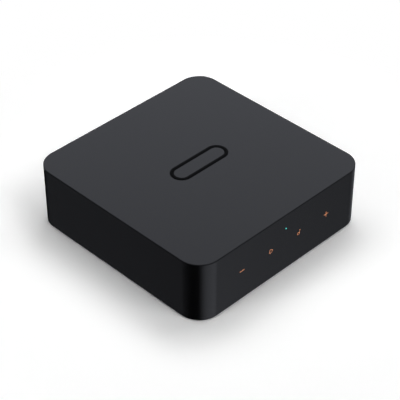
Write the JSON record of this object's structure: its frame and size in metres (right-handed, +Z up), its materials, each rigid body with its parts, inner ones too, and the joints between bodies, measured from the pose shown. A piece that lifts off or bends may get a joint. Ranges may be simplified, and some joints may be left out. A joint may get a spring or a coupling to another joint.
{
  "type": "network music streamer",
  "caption": "Low square box that plays network audio, with touch keys in front, a ring foot, and a rear row of phono, optical, network, trigger and power sockets.",
  "frame": {"origin": "centre of the ring foot's underside, on the floor, under the middle of the square casing", "axes": "+Z up; the touch keys face -Y and the sockets face +Y; +X is to the right seen from the front"},
  "size_m": [0.14, 0.1476, 0.042],
  "materials": {
    "housing": "satin, very dark grey",
    "cover": "fine texture, black",
    "panel": "fine texture, black",
    "foot_rubber": "matt black",
    "weight_steel": "zinc plated",
    "screw_steel": "black zinc",
    "circuit_board": "solder resist",
    "black_moulding": "smooth black",
    "gold_contact": "gold flash",
    "white_insulator": "smooth",
    "red_insulator": "smooth",
    "orange_insulator": "smooth",
    "shutter_plastic": "fine texture",
    "spring_steel": "bright wire",
    "pin_steel": "bright",
    "sheet_steel": "tin plated",
    "light_pipe": "clear moulding",
    "chip_plastic": "moulded epoxy",
    "can_aluminium": "printed can",
    "coil_ferrite": "pressed ferrite",
    "crystal_can": "nickel can",
    "sink_aluminium": "black anodised",
    "pad_foam": "soft foam",
    "aerial_board": "black solder resist",
    "lead_jacket": "thin coax jacket",
    "ribbon_film": "polyester film",
    "socket_nylon": "nylon"
  },
  "bodies": {
    "streamer": {"top_housing": "housing", "bottom_cover": "cover", "foot_ring": "foot_rubber", "weight_plate": "weight_steel", "housing_screws": "screw_steel", "rear_panel": "panel", "panel_screws": "screw_steel", "main_board": "circuit_board", "board_screws": "screw_steel", "line_in_block": "black_moulding", "line_out_block": "black_moulding", "coax_block": "black_moulding", "line_in_barrels": "gold_contact", "line_out_barrels": "gold_contact", "coax_barrel": "gold_contact", "left_insulators": "white_insulator", "right_insulators": "red_insulator", "coax_insulator": "orange_insulator", "phono_contacts": "gold_contact", "optical_out_body": "black_moulding", "optical_in_body": "black_moulding", "optical_out_spring": "spring_steel", "optical_in_spring": "spring_steel", "optical_out_module": "chip_plastic", "optical_in_module": "chip_plastic", "shutter_pins": "pin_steel", "ethernet_shield": "sheet_steel", "ethernet_insert": "black_moulding", "ethernet_light_pipes": "light_pipe", "ethernet_contacts": "gold_contact", "trigger_socket": "black_moulding", "trigger_terminals": "sheet_steel", "usb_shell": "sheet_steel", "usb_tongue": "black_moulding", "touch_board": "circuit_board", "touch_screws": "screw_steel", "touch_pads": "pad_foam", "touch_chip": "chip_plastic", "status_lamp": "socket_nylon", "status_light_pipe": "light_pipe", "touch_ribbon": "ribbon_film", "ribbon_sockets": "socket_nylon", "radio_links": "chip_plastic", "radio_board": "circuit_board", "processor": "chip_plastic", "thermal_pad": "pad_foam", "radio_shield": "sheet_steel", "heat_sink": "sink_aluminium", "aerial_sockets": "gold_contact", "aerials": "aerial_board", "aerial_leads": "lead_jacket", "converter_chip": "chip_plastic", "amplifier_chips": "chip_plastic", "regulator_chips": "chip_plastic", "crystals": "crystal_can", "power_coils": "coil_ferrite", "can_capacitors": "can_aluminium"},
    "optical_out_flap": {"optical_out_shutter": "shutter_plastic"},
    "optical_in_flap": {"optical_in_shutter": "shutter_plastic"}
  },
  "joints": [
    {"name": "optical_out_shutter_hinge", "type": "hinge", "parent": "streamer", "child": "optical_out_flap", "pos_m": [0.00805, 0.06725, 0.01715], "axis": [-1, 0, 0], "range_deg": [0, 88], "stiffness_Nm_per_rad": 0.0002, "springref_deg": -20.05, "deforming": ["optical_out_spring"]},
    {"name": "optical_in_shutter_hinge", "type": "hinge", "parent": "streamer", "child": "optical_in_flap", "pos_m": [-0.00541, 0.06725, 0.01715], "axis": [-1, 0, 0], "range_deg": [0, 88], "stiffness_Nm_per_rad": 0.0002, "springref_deg": -20.05, "deforming": ["optical_in_spring"]}
  ]
}
